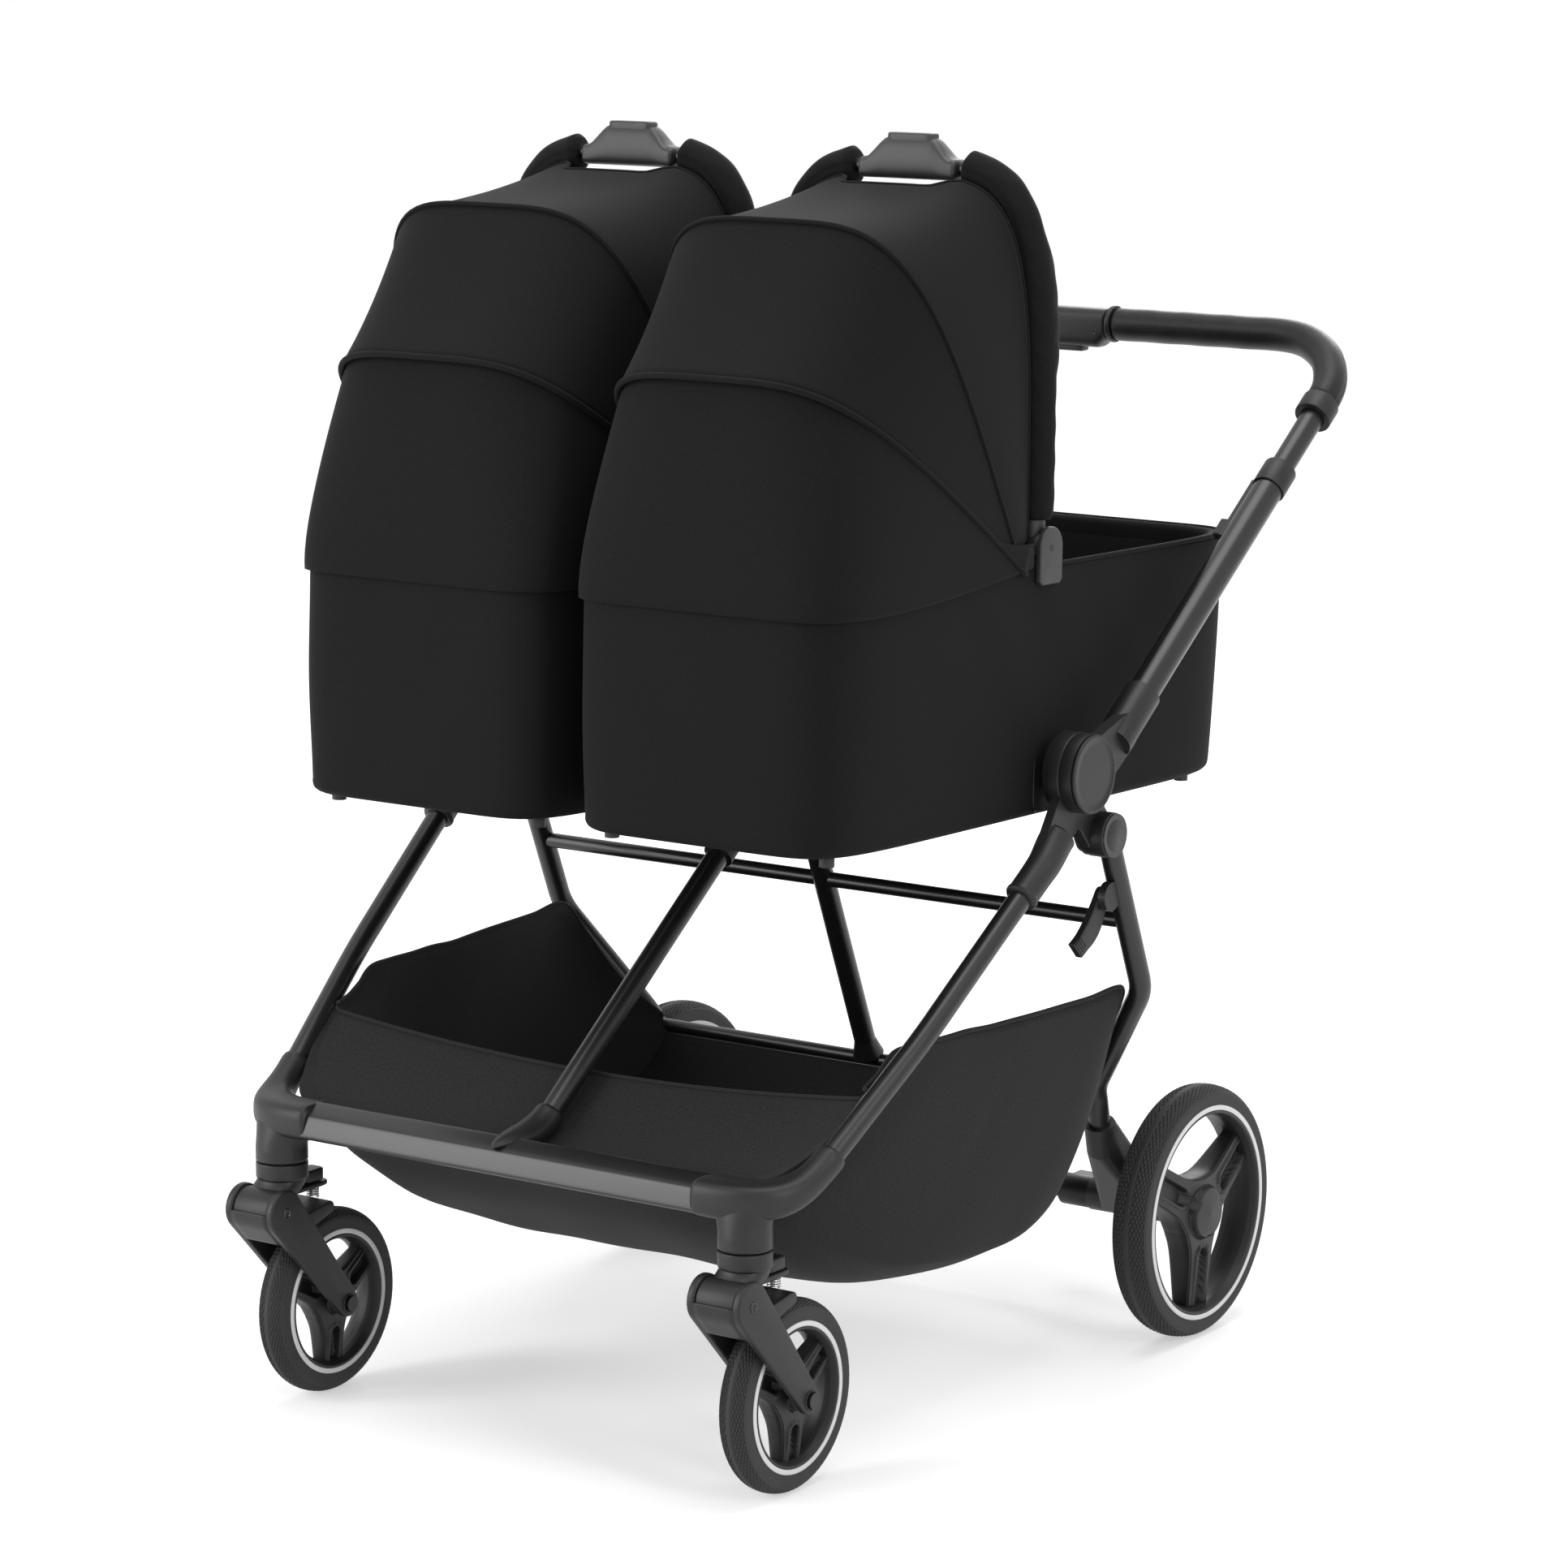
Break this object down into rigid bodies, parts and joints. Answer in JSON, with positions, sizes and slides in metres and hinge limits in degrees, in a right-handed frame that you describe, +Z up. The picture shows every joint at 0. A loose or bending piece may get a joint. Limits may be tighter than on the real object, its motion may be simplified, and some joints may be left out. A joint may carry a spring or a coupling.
{
  "type": "twin pram",
  "caption": "Side-by-side twin pram with two lift-off hooded carrycots on a folding tube frame, swivelling front wheels, larger rear wheels, a sling basket and a telescopic handle.",
  "frame": {"origin": "on the ground, under the middle of the box round the whole pram", "axes": "+Z up, the pram's front faces -Y, +X to the right as seen from the front"},
  "size_m": [0.7418, 1.0243, 1.2066],
  "materials": {
    "frame": "satin black powder coat",
    "plastic": "fine moulded texture",
    "cloth": "fine plain weave",
    "lining": "soft knit",
    "grip": "stitched leatherette",
    "tyre": "foam tyre with a fine diamond tread and a pale ring",
    "steel": "plated"
  },
  "bodies": {
    "chassis": {"front_bar": "frame", "corner_castings": "plastic", "front_legs": "frame", "centre_shoe": "plastic", "hub_castings": "plastic", "cot_sockets": "plastic", "basket": "cloth"},
    "rear_frame": {"rear_legs": "frame", "cross_tubes": "frame", "rear_axle": "frame", "axle_housings": "plastic", "latch_bracket": "plastic"},
    "storage_latch": {"storage_latch": "plastic"},
    "brake_lever": {"brake_lever": "plastic"},
    "handle_frame": {"handle_arms": "plastic", "hub_covers": "plastic", "upper_tubes": "frame", "tube_collars": "plastic"},
    "handle_bar": {"handle_tube": "frame", "grips": "grip", "grip_collars": "plastic", "trigger_housing": "plastic"},
    "fold_button": {"fold_button": "plastic"},
    "telescope_knobs": {"telescope_knobs": "plastic"},
    "caster_left": {"caster_head_left": "plastic", "caster_spring_left": "steel"},
    "swivel_lock_left": {"swivel_lock_left": "plastic"},
    "fork_left": {"fork_left": "plastic", "front_axle_left": "steel"},
    "front_wheel_left": {"front_tyre_left": "tyre", "front_rim_left": "plastic"},
    "rear_wheel_left": {"rear_tyre_left": "tyre", "rear_rim_left": "plastic"},
    "cot_left": {"cot_shell_left": "cloth", "mattress_left": "lining", "cot_feet_left": "plastic", "hood_brackets_left": "plastic", "hood_lower_left": "cloth"},
    "hood_bow_left": {"hood_bow_left": "frame", "hood_upper_left": "cloth"},
    "carry_arch_left": {"carry_arch_left": "cloth"},
    "carry_button_left": {"carry_button_left": "plastic"},
    "caster_right": {"caster_head_right": "plastic", "caster_spring_right": "steel"},
    "swivel_lock_right": {"swivel_lock_right": "plastic"},
    "fork_right": {"fork_right": "plastic", "front_axle_right": "steel"},
    "front_wheel_right": {"front_tyre_right": "tyre", "front_rim_right": "plastic"},
    "rear_wheel_right": {"rear_tyre_right": "tyre", "rear_rim_right": "plastic"},
    "cot_right": {"cot_shell_right": "cloth", "mattress_right": "lining", "cot_feet_right": "plastic", "hood_brackets_right": "plastic", "hood_lower_right": "cloth"},
    "hood_bow_right": {"hood_bow_right": "frame", "hood_upper_right": "cloth"},
    "carry_arch_right": {"carry_arch_right": "cloth"},
    "carry_button_right": {"carry_button_right": "plastic"}
  },
  "joints": [
    {"name": "handle_fold", "type": "hinge", "parent": "chassis", "child": "handle_frame", "pos_m": [0, -0.031, 0.616], "axis": [1, 0, 0], "range_deg": [0, 172]},
    {"name": "rear_fold", "type": "hinge", "parent": "chassis", "child": "rear_frame", "pos_m": [0, 0.009, 0.551], "axis": [1, 0, 0], "range_deg": [-46.2, 0], "deforming": ["basket"]},
    {"name": "handle_slide", "type": "slide", "parent": "handle_frame", "child": "handle_bar", "axis": [0, 0.809, 0.5878], "range_m": [-0.075, 0.02]},
    {"name": "fold_button_press", "type": "slide", "parent": "handle_bar", "child": "fold_button", "axis": [0, 0, 1], "range_m": [0, 0.005], "stiffness_N_per_m": 400, "springref_m": -0.01},
    {"name": "telescope_release", "type": "slide", "parent": "handle_frame", "child": "telescope_knobs", "axis": [0, 0.809, 0.5878], "range_m": [0, 0.008], "stiffness_N_per_m": 400, "springref_m": -0.01},
    {"name": "latch_turn", "type": "hinge", "parent": "rear_frame", "child": "storage_latch", "pos_m": [0.34285, 0.02048, 0.489], "axis": [1, 0, 0], "range_deg": [0, 30], "stiffness_Nm_per_rad": 0.05, "springref_deg": -34.38},
    {"name": "brake_press", "type": "hinge", "parent": "rear_frame", "child": "brake_lever", "pos_m": [0.18, 0.237, 0.1275], "axis": [1, 0, 0], "range_deg": [-15, 0]},
    {"name": "caster_swivel_left", "type": "hinge", "parent": "chassis", "child": "caster_left", "pos_m": [-0.27, -0.463, 0.24], "axis": [0, 0, 1], "continuous": true},
    {"name": "swivel_lock_slide_left", "type": "slide", "parent": "caster_left", "child": "swivel_lock_left", "axis": [0, 0, 1], "range_m": [0, 0.006]},
    {"name": "suspension_left", "type": "hinge", "parent": "caster_left", "child": "fork_left", "pos_m": [-0.27, -0.491, 0.199], "axis": [1, 0, 0], "range_deg": [0, 6], "stiffness_Nm_per_rad": 60, "springref_deg": -17.19, "deforming": ["caster_spring_left"]},
    {"name": "front_wheel_spin_left", "type": "hinge", "parent": "fork_left", "child": "front_wheel_left", "pos_m": [-0.27, -0.401, 0.09], "axis": [1, 0, 0], "continuous": true},
    {"name": "rear_wheel_spin_left", "type": "hinge", "parent": "rear_frame", "child": "rear_wheel_left", "pos_m": [-0.32, 0.237, 0.1275], "axis": [1, 0, 0], "continuous": true},
    {"name": "cot_lift_left", "type": "slide", "parent": "chassis", "child": "cot_left", "axis": [0, 0, -1], "range_m": [-0.12, 0]},
    {"name": "hood_bow_turn_left", "type": "hinge", "parent": "cot_left", "child": "hood_bow_left", "pos_m": [-0.163, -0.04742, 0.8295], "axis": [-1, 0, 0], "range_deg": [-24.2, 0], "deforming": ["hood_lower_left"]},
    {"name": "hood_fold_left", "type": "hinge", "parent": "hood_bow_left", "child": "carry_arch_left", "pos_m": [-0.163, -0.04742, 0.8295], "axis": [-1, 0, 0], "range_deg": [-46, 0], "deforming": ["hood_upper_left"]},
    {"name": "carry_button_press_left", "type": "slide", "parent": "carry_arch_left", "child": "carry_button_left", "axis": [0, -0.0262, -0.9997], "range_m": [0, 0.003], "stiffness_N_per_m": 500, "springref_m": -0.01},
    {"name": "caster_swivel_right", "type": "hinge", "parent": "chassis", "child": "caster_right", "pos_m": [0.27, -0.463, 0.24], "axis": [0, 0, 1], "continuous": true},
    {"name": "swivel_lock_slide_right", "type": "slide", "parent": "caster_right", "child": "swivel_lock_right", "axis": [0, 0, 1], "range_m": [0, 0.006]},
    {"name": "suspension_right", "type": "hinge", "parent": "caster_right", "child": "fork_right", "pos_m": [0.27, -0.491, 0.199], "axis": [1, 0, 0], "range_deg": [0, 6], "stiffness_Nm_per_rad": 60, "springref_deg": -17.19, "deforming": ["caster_spring_right"]},
    {"name": "front_wheel_spin_right", "type": "hinge", "parent": "fork_right", "child": "front_wheel_right", "pos_m": [0.27, -0.401, 0.09], "axis": [1, 0, 0], "continuous": true},
    {"name": "rear_wheel_spin_right", "type": "hinge", "parent": "rear_frame", "child": "rear_wheel_right", "pos_m": [0.32, 0.237, 0.1275], "axis": [1, 0, 0], "continuous": true},
    {"name": "cot_lift_right", "type": "slide", "parent": "chassis", "child": "cot_right", "axis": [0, 0, -1], "range_m": [-0.12, 0]},
    {"name": "hood_bow_turn_right", "type": "hinge", "parent": "cot_right", "child": "hood_bow_right", "pos_m": [0.163, -0.04742, 0.8295], "axis": [-1, 0, 0], "range_deg": [-24.2, 0], "deforming": ["hood_lower_right"]},
    {"name": "hood_fold_right", "type": "hinge", "parent": "hood_bow_right", "child": "carry_arch_right", "pos_m": [0.163, -0.04742, 0.8295], "axis": [-1, 0, 0], "range_deg": [-46, 0], "deforming": ["hood_upper_right"]},
    {"name": "carry_button_press_right", "type": "slide", "parent": "carry_arch_right", "child": "carry_button_right", "axis": [0, -0.0262, -0.9997], "range_m": [0, 0.003], "stiffness_N_per_m": 500, "springref_m": -0.01}
  ],
  "couplings": [
    {"joint": "rear_fold", "follows": "handle_fold", "ratio": -0.26744},
    {"joint": "hood_bow_turn_left", "follows": "hood_fold_left", "ratio": 0.52174},
    {"joint": "hood_bow_turn_right", "follows": "hood_fold_right", "ratio": 0.52174}
  ]
}
